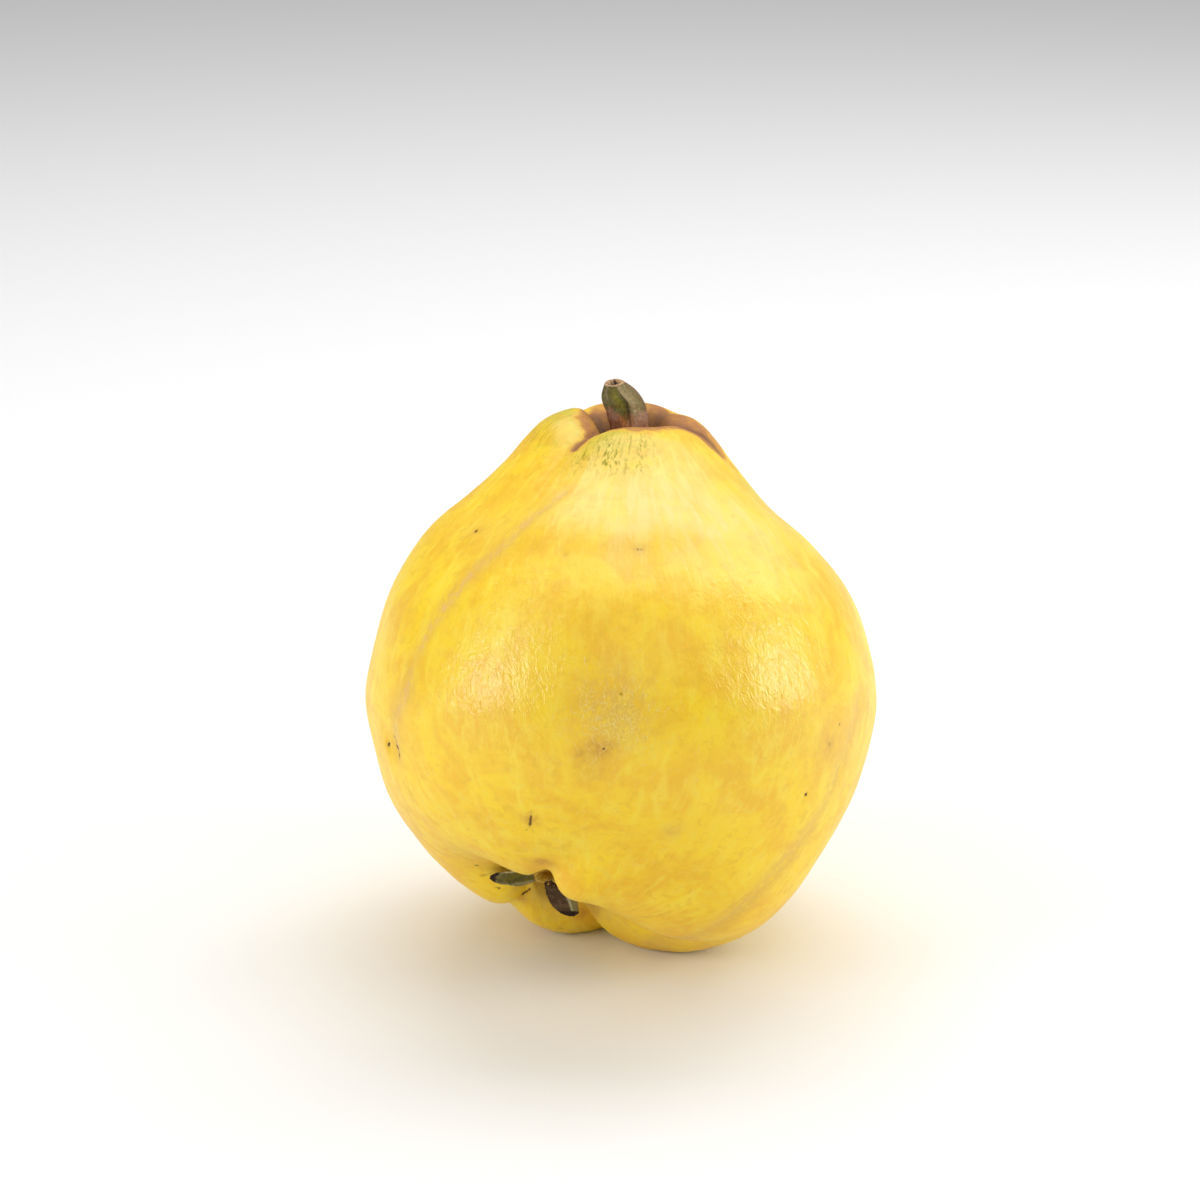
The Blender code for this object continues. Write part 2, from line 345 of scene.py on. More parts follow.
class Look:
    """A Principled material with helpers for the nodes that vary it."""

    def __init__(self, name):
        self.material = bpy.data.materials.new(name)
        self.material.use_nodes = True
        self.tree = self.material.node_tree
        self.shader = self.tree.nodes["Principled BSDF"]

    def node(self, kind, inputs=(), **settings):
        """A node whose inputs are given values, or outputs of other nodes."""
        node = self.tree.nodes.new(kind)
        for key, value in settings.items():
            setattr(node, key, value)
        for key, value in dict(inputs).items():
            self.feed(node.inputs[key], value)
        return node

    def feed(self, socket, value):
        if isinstance(value, bpy.types.NodeSocket):
            self.tree.links.new(value, socket)
        elif socket.type == "RGBA":
            socket.default_value = (*value, 1)
        else:
            socket.default_value = value

    def set(self, name, value):
        self.feed(self.shader.inputs[name], value)

    def attribute(self, name, output="Fac"):
        return self.node("ShaderNodeAttribute", attribute_name=name).outputs[output]

    def position(self):
        return self.node("ShaderNodeTexCoord").outputs["Object"]

    def noise(self, vector, scale, detail=2.0, roughness=0.5, distortion=0.0):
        inputs = {"Vector": vector, "Scale": scale, "Detail": detail, "Roughness": roughness,
                  "Distortion": distortion}
        return self.node("ShaderNodeTexNoise", inputs).outputs[0]

    def span(self, value, low, high, to_low=0.0, to_high=1.0, straight=False):
        """Value from low to high taken smoothly, or in a straight line, to a new range."""
        inputs = {"Value": value, "From Min": low, "From Max": high, "To Min": to_low, "To Max": to_high}
        kind = "LINEAR" if straight else "SMOOTHSTEP"
        return self.node("ShaderNodeMapRange", inputs, interpolation_type=kind).outputs[0]

    def vector(self, operation, inputs, output="Vector"):
        return self.node("ShaderNodeVectorMath", inputs, operation=operation).outputs[output]

    def sum(self, *values):
        return self.fold("ADD", values)

    def product(self, *values):
        return self.fold("MULTIPLY", values)

    def fold(self, operation, values):
        total = values[0]
        for value in values[1:]:
            total = self.node("ShaderNodeMath", {0: total, 1: value}, operation=operation).outputs[0]
        return total

    def blend(self, first, second, factor):
        node = self.node("ShaderNodeMix", data_type="RGBA")
        self.feed(node.inputs[0], factor)
        self.feed(node.inputs[6], first)
        self.feed(node.inputs[7], second)
        return node.outputs[2]

    def layered(self, colour, *layers):
        """A colour under layers, each a colour and how much of it shows."""
        for above, share in layers:
            colour = self.blend(colour, above, share)
        return colour

    def toned(self, colour, value, saturation=1.0):
        """The colour made darker or lighter, and greyer."""
        inputs = {"Color": colour, "Value": value, "Saturation": saturation}
        return self.node("ShaderNodeHueSaturation", inputs).outputs[0]

    def bump(self, height, distance, strength=1.0, under=None):
        inputs = {"Height": height, "Distance": distance, "Strength": strength}
        node = self.node("ShaderNodeBump", inputs)
        if under is not None:
            self.feed(node.inputs["Normal"], under)
        return node.outputs["Normal"]


# -------- marks on the skin, as points of the skin

SKIN_RINGS, SKIN_SEGMENTS = 240, 400
SKIN_INSET = 0.28
SCAR = ((-10.3, -22.4, 33.9), (-15.3, -25.0, 29.7), (-20.0, -25.9, 25.5), (-24.6, -26.6, 21.5),
        (-28.1, -27.8, 17.5), (-32.3, -27.5, 11.6), (-36.6, -25.9, 0.7), (-39.2, -18.9, -9.3))
GROOVE = ((40.2, -20.7, -1.1), (36.6, -22.9, -12.9), (30.0, -21.0, -25.7), (23.3, -19.1, -33.4),
          (16.7, -15.1, -39.8), (11.7, -10.5, -42.5), (5.0, 3.8, -45.0))
CREASE = ((-2.4, 2.0, 46.5), (-4.7, -6.5, 44.9), (-6.1, -9.8, 43.9), (-7.3, -11.0, 43.0), (-8.3, -12.0, 41.9))
DENT, DENT_REACH, DENT_DEPTH = (-39.5, -18.2, -9.4), 3.2, 0.5
TANGLE, TANGLE_REACH, TANGLE_HEIGHT = (-1.0, -44.2, -1.5), 6.5, 0.05
# Shiny swellings, glossier and with a painted highlight in their colour: azimuth, elevation and angular
# reach.
SHINY = ((36, 8, 21), (-27, 6, 20))
# Russet round the stem: how far it reaches, and where it reaches further (azimuth, width, extra reach).
RUSSET_REACH = 8.8
RUSSET_TONGUES = ((10, 40, 4.0), (84, 22, 8.6))
RUSSET_LOBE = (-5.0, -4.0, 46.6)
# Green skin and green flecks: azimuth, width, distance from the stem, depth, and strength.
GREEN_PATCHES = ((-70, 36, 11.5, 4.0, 0.9), (-10, 28, 13.5, 4.5, 0.8), (82, 12, 21.5, 4.5, 0.6))
FLECK_PATCHES = ((-8, 26, 16.5, 4.2, 1.0), (-84, 30, 14.5, 4.5, 0.6))
# Cracks: the line of each, half its width, and how dark it is.
CRACKS = (
    (((-15.4, -33.1, -20.4), (-15.5, -32.0, -21.2), (-15.6, -31.0, -22.0)), 0.13, 0.85),
    (((-15.3, -34.3, -19.3), (-15.4, -33.1, -20.4)), 0.02, 0.3),
    (((-15.6, -31.0, -22.0), (-16.3, -29.4, -23.0)), 0.03, 0.3),
    (((-15.6, -31.0, -22.0), (-14.9, -29.6, -23.2)), 0.02, 0.22),
    (((-40.3, -16.8, -8.6), (-40.4, -16.4, -9.2)), 0.2, 1.0),
    (((-39.1, -19.3, -9.2), (-38.4, -20.4, -9.6)), 0.2, 1.0),
    (((-38.4, -20.4, -9.6), (-38.2, -20.3, -10.2), (-38.3, -19.6, -11.2)), 0.1, 0.8),
    (((-39.3, -19.8, -7.4), (-38.8, -19.9, -8.4), (-38.4, -20.4, -9.6)), 0.06, 0.65),
    (((-16.3, 4.4, -35.4), (-17.0, 5.0, -36.0)), 0.04, 0.9),
    (((-17.0, 5.0, -36.0), (-17.6, 5.7, -36.6)), 0.11, 1.0),
    (((-24.8, -2.5, -32.6), (-22.7, -3.7, -32.0)), 0.02, 0.4),
)
# Tan patches: where each is, how far it reaches, and how strong it is.
TAN_PATCHES = (
    ((-1.5, -44.2, -1.5), 7.5, 1.0), ((34.6, -28.1, -8.4), 6.5, 0.5), ((-25.7, -16.0, 28.1), 5.0, 0.2),
    ((-24.0, -10.0, -29.0), 6.0, 0.5), ((8.2, -33.7, -22.6), 2.2, 0.5), ((-21.5, -22.0, 24.0), 5.0, 0.3),
    ((20.0, 38.0, 6.0), 9.0, 0.6), ((-30.0, 28.0, 12.0), 7.0, 0.4),
)
# Dark spots: where each is, its radius, and how dark it is; and the number of specks strewn all over.
SPOTS = (
    ((-25.1, -17.5, 27.7), 0.28, 0.8), ((2.4, -33.5, 24.4), 0.14, 0.5), ((3.0, -33.5, 24.3), 0.1, 0.5),
    ((-0.4, -44.4, 0.6), 0.14, 0.45), ((-3.2, -43.1, -8.5), 0.14, 0.75), ((-2.8, -43.0, -8.9), 0.05, 0.55),
    ((30.7, -28.2, -16.8), 0.2, 1.0), ((-21.6, -0.8, -34.9), 0.15, 0.8), ((-22.1, -0.9, -34.7), 0.08, 0.8),
    ((-25.3, -5.3, -30.5), 0.28, 0.5), ((34.6, -28.1, -8.4), 0.2, 0.4), ((36.0, -26.5, -5.0), 0.16, 0.5),
)
SPECKS = 46
# The blur round a mark's sharp core, and how far its halo starts inside that core.
MARK_BLUR = 0.14
HALO_INSET = 0.15
# Golden-brown stains, given like the tan patches.
STAINS = (
    ((-4.4, -43.0, -8.6), 2.0, 1.0), ((-6.9, -42.5, -9.6), 1.5, 0.8), ((-2.7, -43.2, -8.2), 1.5, 1.0),
    ((-5.6, -42.6, -11.0), 3.5, 0.45), ((-13.8, -20.6, -28.9), 1.6, 0.9), ((2.4, -33.5, 24.4), 1.2, 0.6),
    ((-1.4, -32.8, 26.0), 1.8, 0.35), ((-15.5, -32.4, -20.9), 1.7, 0.9), ((8.2, -33.7, -22.6), 1.4, 0.35),
    ((-7.1, 9.6, -40.2), 1.6, 0.9), ((-17.7, 6.3, -37.3), 1.2, 0.8), ((-25.1, -17.5, 27.7), 1.3, 0.6),
    ((34.6, -28.1, -8.4), 1.6, 0.6), ((-0.6, -40.0, 14.0), 9.0, 0.15), ((-39.0, -19.5, -9.5), 1.9, 0.8),
    ((-40.3, -16.5, -9.0), 1.3, 0.8),
)


class FineSkin:
    """The skin as a fine grid, with the measures behind its colours and its relief."""

    def __init__(self, marks):
        self.t, self.azimuth, self.faces = ball(SKIN_RINGS, SKIN_SEGMENTS)
        self.points = points = fruit_skin(self.t, self.azimuth)
        self.normals = mesh_normals(points, self.faces)
        x, y, z = points.T
        # The lower half counts as far from the stem.
        self.from_stem = np.hypot(x - CAVITY_SHIFT[0], y - CAVITY_SHIFT[1]) + 50.0 * (z < 0)
        self.basin = smooth_step((self.t - 0.86) / 0.1)
        self.open_skin = smooth_step((self.from_stem - 20) / 12) * (1 - self.basin)
        self.glossy = np.clip(sum(bulge(unit(points), *swelling) for swelling in SHINY), 0, 1)
        self.flow = polar(44, np.radians(self.azimuth), self.t * 56)
        self.wander = noise(points, 9.0, 3, 2)
        self.mottle = noise(points, 2.6, 4, 3)
        self.crease = line_distance(points, CREASE)
        self.groove = line_distance(points, GROOVE)
        self.scar = line_distance(points + 1.1 * noise(points, 5.0, 7, 2)[:, None], SCAR)
        self.dent = near(points, DENT, DENT_REACH)
        # A paler cream band on the front of the shoulder: a painted highlight in the skin's colour.
        self.shoulder_highlight = hump(self.from_stem + 2.5 * self.wander - 0.06 * self.azimuth, 25, 10)
        self.shoulder_highlight *= hump(self.azimuth, 20, 46)
        self.russet, self.shade = self.russet_and_shade()
        self.green, self.flecks = self.green_and_flecks()
        self.tan, self.stain = self.tan_and_stain()
        self.spot, self.dark = self.spot_and_dark(marks)

    def russet_and_shade(self):
        """The russet round the stem, and the shade in its cavity and folds."""
        reach = RUSSET_REACH + 1.2 * self.wander + 0.9 * self.mottle
        for azimuth, width, extra in RUSSET_TONGUES:
            reach += extra * hump(self.azimuth, azimuth, width)
        reach += 2.5 * hump(np.abs(self.azimuth), 150, 30)
        russet = smooth_step((reach - self.from_stem) / 3.4 + 0.5)
        russet = np.maximum(russet, hump(self.crease + 0.3 * self.mottle, 0, 1.3))
        from_lobe = np.linalg.norm(self.points - RUSSET_LOBE, axis=1) + 0.8 * self.mottle
        russet = np.maximum(russet, smooth_step((4.6 - from_lobe) / 2.2))

        fold = self.crease
        waist = smooth_path(OUTLINE, self.t)[:, 0]
        for azimuths, depths in VALLEYS:
            if depths[0] > 1.5:
                away = (self.azimuth - along(azimuths, self.t) + 180) % 360 - 180
                fold = np.minimum(fold, radians(1) * np.abs(away) * waist)
        shade = hump(fold, 0, 1.5) * smooth_step((reach + 1.0 - self.from_stem) / 5.0)
        shade = np.maximum(shade, 0.75 * hump(self.crease, 0, 0.6))
        return russet, np.maximum(shade, smooth_step((8.4 + 0.8 * self.wander - self.from_stem) / 4.5))

    def green_and_flecks(self):
        """The green skin and the green flecks round the stem."""
        green, flecks = 0.0, 0.0
        for azimuth, width, away, depth, strength in GREEN_PATCHES:
            green += strength * hump(self.azimuth, azimuth, width) * hump(self.from_stem, away, depth)
        green += 0.35 * hump(np.abs(self.azimuth), 165, 30) * hump(self.from_stem, 17.0, 5.0)
        for azimuth, width, away, depth, strength in FLECK_PATCHES:
            edge = ((self.azimuth - azimuth) / width) ** 4 + ((self.from_stem - away) / depth) ** 4
            flecks = np.maximum(flecks, strength * np.exp(-edge))
        return np.clip(green, 0, 1), flecks

    def tan_and_stain(self):
        """The tan scar, groove and patches, and the golden-brown stains."""
        tan = 0.85 * hump(self.scar - 0.6 * self.wander, 0, 2.0)
        tan += 0.85 * hump(self.groove + self.wander, 0, 2.4)
        for centre, reach, strength in TAN_PATCHES:
            tan += strength * near(self.points, centre, reach)
        stain = 0.0
        for centre, reach, strength in STAINS:
            stain = np.maximum(stain, strength * near(self.points, centre, reach, 0.25 * self.mottle))
        return np.clip(tan + 0.35 * self.basin, 0, 1), stain

    def spot_and_dark(self, marks):
        """How far off the edge of the nearest spot or crack is, and how dark that one is."""
        draw = np.random.default_rng(11)
        blots = []
        for index in draw.integers(0, len(self.points), SPECKS):
            centre = self.points[index]
            blots.append(((centre, centre), draw.uniform(0.06, 0.17), draw.uniform(0.2, 0.7)))
        blots += [(path, radius - HALO_INSET, strength) for path, radius, strength in marks]
        spot, dark = np.full(len(self.points), 4.0), 0.0
        crooked = self.points + 0.16 * noise(self.points, 0.9, 9, 2)[:, None]
        for path, radius, strength in blots:
            away = line_distance(crooked, path) - radius
            dark = np.where(away < spot, strength, dark)
            spot = np.minimum(spot, away)
        return spot, dark

    def relief(self):
        """How far the skin stands out from the part's own."""
        points, from_stem = self.points, self.from_stem
        x, y, z = points.T
        slanted = np.stack([1.2 * x + 0.6 * z, y, 0.6 * z - 0.3 * x], axis=1)
        slanted += 0.6 * noise(points, 3.0, 8)[:, None]
        wrinkles = (np.abs(noise(slanted, 2.5, 31, 2)) - 0.35) * (0.03 + 0.15 * self.glossy**1.5)
        wrinkles += TANGLE_HEIGHT * near(points, TANGLE, TANGLE_REACH) * noise(points, 1.4, 51, 2)
        streaks = 0.06 * noise(self.flow, 2.6, 41, 2) * (1 - self.glossy) * self.open_skin
        neck = smooth_step((from_stem - 13) / 4) * smooth_step((36 - from_stem) / 12)
        folds = 0.1 * noise(self.flow * (1, 1, 0.3), 4.5, 44, 2) * neck
        lumps = 0.16 * noise(points, 11.0, 21, 2)
        raised = lumps + wrinkles + streaks + folds + 0.05 * self.mottle * self.russet
        raised *= smooth_step((from_stem - 5.5) / 3) * (1 - 0.7 * self.basin)
        cuts = SKIN_INSET + 0.16 * hump(self.scar, 0, 0.9) + 0.12 * hump(self.groove, 0, 1.0)
        cuts += 0.35 * hump(self.crease, 0, 0.7) * smooth_step((from_stem - 7) / 3)
        cuts += 0.3 * self.dark * smooth_step(1 - (self.spot + 0.1) / 0.7)
        return raised - cuts - DENT_DEPTH * self.dent


def fine_fruit():
    """The skin with its wrinkles, grooves and pits, painted with what its material reads."""
    marks = CRACKS + tuple(((centre, centre), radius, strength) for centre, radius, strength in SPOTS)
    skin = FineSkin(marks)
    fine = rest_on_ground(skin.points + skin.normals * skin.relief()[:, None])
    low, high = (np.array(corner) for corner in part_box("fruit"))
    points = np.clip(place(fine, GROWTH), low, high)
    marks = [([settled(corner, fine, skin.normals) for corner in path], radius, strength)
             for path, radius, strength in marks]
    piece = add_piece("fruit_skin", points, skin.faces, skin_look(marks), "fruit")
    for name in ("russet", "shade", "basin", "green", "flecks", "tan", "stain", "scar", "spot", "dark",
                 "glossy", "dent", "open_skin", "shoulder_highlight"):
        paint(piece, name, getattr(skin, name))
    paint(piece, "flow", skin.flow, "FLOAT_VECTOR", "vector")
    return points, mesh_normals(points, skin.faces)


def settled(corner, skin, normals):
    """A point of the part's own skin, moved straight in or out to the finer skin."""
    nearest = np.argmin(np.linalg.norm(skin - corner, axis=1))
    normal = normals[nearest]
    return corner + normal * (normal @ (skin[nearest] - corner))


def mark_distance(look, spot_at, path):
    """Distance in metres from a mark that runs straight from corner to corner."""
    corners = [GROWTH @ (Vector(corner) * MM) for corner in path]
    distances = []
    for start, end in zip(corners[:-1], corners[1:]):
        run = end - start
        off = look.vector("SUBTRACT", {0: spot_at, 1: start})
        if start == end:
            distances.append(look.vector("LENGTH", {0: off}, "Value"))
            continue
        share = look.vector("DOT_PRODUCT", {0: off, 1: run / run.length_squared}, "Value")
        share = look.span(share, 0.0, 1.0, straight=True)
        nearest = look.vector("SCALE", {0: run, "Scale": share})
        distances.append(look.vector("DISTANCE", {0: off, 1: nearest}, "Value"))
    return look.fold("MINIMUM", distances)


def skin_look(marks):
    """Streaky yellow skin with russet, green flecks, tan, stains and spots, with painted shade in the stem
    cavity and painted highlights on the shoulder and the shiny swellings.
    """
    look = Look("quince_skin")
    span, product, painted = look.span, look.product, look.attribute
    spot_at = look.position()
    flow = painted("flow", "Vector")
    russet, glossy, dent, dark = (painted(name) for name in ("russet", "glossy", "dent", "dark"))
    broad = look.noise(spot_at, 100, 4, 0.62, 0.6)
    streak = look.noise(flow, 0.35, 4, 0.6, 0.5)
    fine = look.noise(spot_at, 900, 3, 0.6)
    grain = look.noise(spot_at, 2600, 2, 0.6)
    drift = look.noise(flow, 1.6, 3, 0.6, 0.8)
    blotch = look.noise(spot_at, 420, 3, 0.6, 0.6)

    patchy = span(look.sum(drift, product(fine, 0.4)), 0.45, 0.8, 0.15, 1.0)
    scar_line = product(span(painted("scar"), 0.2, 1.4, 1.0, 0.0), span(fine, 0.4, 0.62, 0.1, 0.75),
                        span(drift, 0.4, 0.6, 0.25, 1.0))
    # The green flecks lie in clusters, drawn out along the flow of the skin.
    rays = look.node("ShaderNodeMapping", {"Vector": flow, "Scale": (1, 1, 1.5)}).outputs[0]
    mottle = look.noise(rays, 0.85, 3, 0.65, 0.6)
    clusters = span(look.noise(flow, 0.22, 2), 0.36, 0.6, 0.35, 1.0)
    fleck_mask = product(painted("flecks"), clusters, span(mottle, 0.44, 0.62))
    edge = look.sum(russet, product(look.sum(blotch, -0.5), 0.9))
    rust_and_shade = look.layered(
        (0.42, 0.165, 0.05),
        ((0.68, 0.34, 0.055), span(look.sum(broad, product(blotch, 0.6)), 0.68, 1.0)),
        ((0.4, 0.165, 0.095), product(span(fine, 0.48, 0.66), 0.55)),
        # Painted shade: dark purple-brown in the cavity and folds by the stem.
        ((0.105, 0.036, 0.03), product(painted("shade"), span(fine, 0.3, 0.6, 1.0, 0.7))),
    )
    # Each spot and crack has a ragged halo and a sharp core.
    ragged = look.sum(painted("spot"), product(look.sum(grain, -0.5), 0.6))
    frayed = product(look.sum(look.noise(spot_at, 1500, 3, 0.7), -0.5), 0.0007)
    cores = [product(span(ragged, -0.02, 0.16, 1.0, 0.0), dark)]
    for path, radius, strength in marks:
        edge_away = look.sum(mark_distance(look, spot_at, path), frayed)
        cores.append(span(edge_away, radius * MM, (radius + MARK_BLUR) * MM, strength, 0.0))
    core = look.fold("MAXIMUM", cores)

    pale = (0.98, 0.77, 0.05)
    look.set("Base Color", look.layered(
        (0.9, 0.52, 0.001),
        ((0.96, 0.655, 0.001), span(broad, 0.36, 0.62)),
        (pale, product(span(streak, 0.48, 0.7), 0.52)),
        (pale, product(span(blotch, 0.52, 0.7), 0.45)),
        ((0.8, 0.48, 0.002), product(span(blotch, 0.46, 0.32), 0.45)),
        ((0.62, 0.28, 0.003), product(painted("stain"), span(fine, 0.3, 0.6, 0.5, 1.0))),
        # Painted highlight: paler yellow on the shiny swellings.
        (pale, product(glossy, span(drift, 0.4, 0.65), 0.35)),
        ((0.93, 0.58, 0.001), product(dent, 0.95)),
        # Painted highlight: paler cream on the front of the shoulder.
        ((0.87, 0.64, 0.2), product(painted("shoulder_highlight"), span(streak, 0.35, 0.65, 0.3, 0.8))),
        ((0.74, 0.45, 0.07), product(painted("tan"), patchy, 0.8)),
        ((0.82, 0.5, 0.17), scar_line),
        ((0.6, 0.51, 0.02), product(painted("green"), span(blotch, 0.34, 0.6, 0.5, 1.0))),
        ((0.29, 0.25, 0.0005), product(fleck_mask, span(fine, 0.3, 0.6, 0.6, 1.0))),
        ((0.76, 0.42, 0.035), product(span(edge, 0.05, 0.45), span(blotch, 0.36, 0.62, 0.35, 0.85))),
        (rust_and_shade, product(span(edge, 0.42, 0.9), 0.94)),
        ((0.62, 0.4, 0.12), product(painted("basin"), span(fine, 0.35, 0.7, 0.25, 0.75))),
        ((0.66, 0.34, 0.004), product(span(ragged, 0.0, 0.8, 1.0, 0.0), dark, 0.6)),
        ((0.08, 0.026, 0.006), core),
    ))

    rough = span(fine, 0.3, 0.7, 0.35, 0.43)
    look.set("Roughness", look.sum(rough, product(russet, 0.18), product(glossy, -0.08)))
    dull = span(look.sum(russet, dent, fleck_mask, core), 0.1, 0.9, 0.0, -0.4)
    look.set("Specular IOR Level", look.sum(0.62, dull, product(glossy, 0.3)))
    look.set("Subsurface Weight", 0.1)
    look.set("Subsurface Radius", (1.0, 0.55, 0.12))
    look.set("Subsurface Scale", 0.002)

    # Slanting creases on the shiny swellings, ripples along the flow, and two sizes of grain.
    slant = {"Vector": spot_at, "Rotation": (0, -0.5, 0), "Scale": (0.75, 1, 1.5)}
    slanted = look.node("ShaderNodeMapping", slant, vector_type="TEXTURE").outputs[0]
    leather = look.noise(slanted, 680, 2, 0.5, 0.6)
    creases = look.node("ShaderNodeMath", {0: look.sum(leather, -0.5)}, operation="ABSOLUTE").outputs[0]
    creases = product(creases, span(glossy, 0.05, 0.7, 0.1, 1.0))
    ripples = product(look.sum(look.noise(flow, 1.3, 3, 0.6), -0.5), painted("open_skin"))
    normal = look.bump(creases, 0.0006, 0.5)
    normal = look.bump(ripples, 0.0003, 0.3, normal)
    normal = look.bump(fine, 0.0001, 0.35, normal)
    look.set("Normal", look.bump(grain, 0.00003, 0.3, normal))
    return look.material


# -------- stem

RIDGE_AZIMUTH = 11.0
# t of the rim, where the cut end turns into the bark.
CUT_RIM = 0.178


def fine_stem():
    """The stem with its keels, fibres, swollen foot and slanting cut."""
    t, azimuth, faces = ball(210, 180)
    radius, height = smooth_path(STEM_OUTLINE, t).T
    full = np.clip(radius / 2.5, 0, 1)
    outside = smooth_step((t - CUT_RIM) / 0.012)
    radius = radius * (1 + KEEL_HEIGHT * np.cos(np.radians(STEM_KEELS * (azimuth - KEEL_AZIMUTH))) * full)
    turn = np.radians(azimuth)
    round_stem = polar(3.5, turn, height)

    wobble = noise(round_stem * (1, 1, 0.5), 2.2, 61, 2)
    fibres = noise(round_stem * (1, 1, 0.1), 0.42, 62, 2)
    scales = noise(round_stem * (1, 1, 0.45), 0.8, 63, 2)
    off_ridge = 3.6 * np.sin(turn - radians(RIDGE_AZIMUTH) + 0.05 * wobble)
    off_ridge = np.where(np.abs(azimuth - RIDGE_AZIMUTH) < 90, off_ridge, 9.0)
    upright = smooth_step((height - 2.8) / 2.5) * smooth_step((12.3 - height) / 1.6) * outside
    step = 0.2 * smooth_step(off_ridge / 0.2 + 0.5) * hump(np.clip(off_ridge, 0, None), 0, 1.3)
    step -= 0.16 * hump(off_ridge, -0.22, 0.2)
    foot_lobes = 0.2 + 0.22 * np.cos(np.radians(4 * (azimuth + 38)))
    foot_lobes = hump(height, 5.3 + 0.4 * wobble, 1.1) * foot_lobes
    seam = hump(height, 7.2 + 0.5 * wobble, 0.35)
    radius += outside * (0.12 * wobble * full + 0.05 * fibres + 0.04 * scales + foot_lobes - 0.1 * seam)
    radius += upright * step
    radius += 1.5 * smooth_step((2.6 - height) / 2.6) * outside
    tattered = noise(round_stem, 0.7, 64, 2)
    height = height + (1 - outside) * full * 0.1 * tattered
    height = height - 0.5 * hump(radius, 0.5, 0.55) * (height > 11) * (1 + 0.4 * tattered)

    x = radius * np.sin(turn)
    y = -radius * np.cos(turn)
    top = smooth_step((height - 7.5) / 5.0)
    foot = smooth_step((6.0 - height) / 6.0)
    lean = STEM_CURVE * height**2
    height = height + top * (CUT_TILT[0] * x + CUT_TILT[1] * y - CUT_DROP) + SHOULDER_TILT[1] * y * foot
    skin = np.stack([x - lean, y, height], axis=1) + STEM_FOOT

    piece = add_piece("stem_bark", place(skin, GROWTH), faces, stem_look(), "stem")
    right = smooth_step((off_ridge + 0.1) / 0.3) * (off_ridge < 8)
    strip = right * smooth_step((1.35 + 0.25 * wobble - off_ridge) / 0.5)
    low = smooth_step((7.5 + 1.0 * wobble + 0.9 * scales - 1.6 * hump(azimuth, -8, 22) - height) / 2.2)
    streaks = smooth_step((fibres + 0.25) / 0.8)
    flecks = smooth_step((scales - 0.1) / 0.5)
    around = 1 - 0.5 * smooth_step((np.abs(azimuth) - 80) / 30)
    green = hump(azimuth, -10, 26) * hump(height, 8.7, 2.3) * around
    paint_tint(piece, mixed(
        (0.105, 0.08, 0.022),
        ((0.2, 0.165, 0.07), 0.6 * flecks),
        ((0.19, 0.16, 0.008), 0.95 * green),
        ((0.085, 0.07, 0.005), 0.8 * green * (1 - streaks)),
        ((0.23, 0.185, 0.09), 0.7 * hump(azimuth, -42, 13) * streaks),
        ((0.27, 0.195, 0.07), 0.9 * right * hump(azimuth, 40, 32)),
        ((0.15, 0.15, 0.045), 0.8 * right * hump(azimuth, 50, 18) * flecks),
        ((0.37, 0.27, 0.13), 0.9 * strip * (0.7 + 0.3 * streaks)),
        ((0.27, 0.12, 0.06), 0.75 * hump(azimuth, 92, 20)),
        ((0.34, 0.125, 0.045), low),
        ((0.52, 0.19, 0.025), 0.85 * low * hump(azimuth, -8, 20) * hump(height, 5.6, 1.5)),
        ((0.36, 0.2, 0.11), 0.8 * low * right * (0.6 + 0.4 * streaks)),
        ((0.14, 0.055, 0.03), 0.6 * low * flecks),
        # Painted shade in the groove under the ridge's step.
        ((0.055, 0.035, 0.015), 0.7 * hump(off_ridge, -0.25, 0.24) * upright),
        # Painted shade where the stem sinks into the cavity.
        ((0.06, 0.025, 0.018), smooth_step((3.6 - height) / 2.0)),
        ((0.56, 0.34, 0.17), 1 - outside),
        ((0.33, 0.15, 0.07), (1 - outside) * smooth_step(tattered)),
        # Painted shade in the hollow at the middle of the cut.
        ((0.028, 0.025, 0.015), (1 - outside) * smooth_step((1.25 + 0.25 * tattered - radius) / 0.5)),
    ))
    paint(piece, "gloss", low * outside)


def stem_look():
    """Fibrous bark over the tint on the mesh, glossier at the foot."""
    look = Look("stem_bark")
    spot_at = look.position()
    stretched = look.node("ShaderNodeMapping", {"Vector": spot_at, "Scale": (1, 1, 0.3)}).outputs[0]
    fibre = look.noise(stretched, 3200, 3, 0.6)
    speck = look.noise(spot_at, 1900, 3, 0.6)
    tint = look.attribute("tint", "Color")
    gloss = look.attribute("gloss")
    look.set("Base Color", look.layered(
        tint,
        (look.toned(tint, 0.55), look.span(fibre, 0.55, 0.36, 0.0, 0.75)),
        (look.toned(tint, 1.6, 0.85), look.span(speck, 0.54, 0.7, 0.0, 0.7)),
    ))
    look.set("Roughness", look.sum(look.span(fibre, 0.3, 0.7, 0.5, 0.68), look.product(gloss, -0.14)))
    look.set("Specular IOR Level", look.span(gloss, 0.0, 1.0, 0.22, 0.4))
    normal = look.bump(fibre, 0.00018, 0.7)
    look.set("Normal", look.bump(speck, 0.00012, 0.5, normal))
    return look.material


# -------- calyx and stamens

# Each sepal's share of green and of brown, and where its dark tip starts.
SEPAL_TINTS = ((1.0, 0.1, 0.86), (0.0, 1.0, 0.82), (0.5, 0.5, 0.8), (0.2, 0.2, 2.0), (0.2, 0.1, 2.0))
SEPAL_FOOT = 1.1
GOLDEN_ANGLE = 137.5


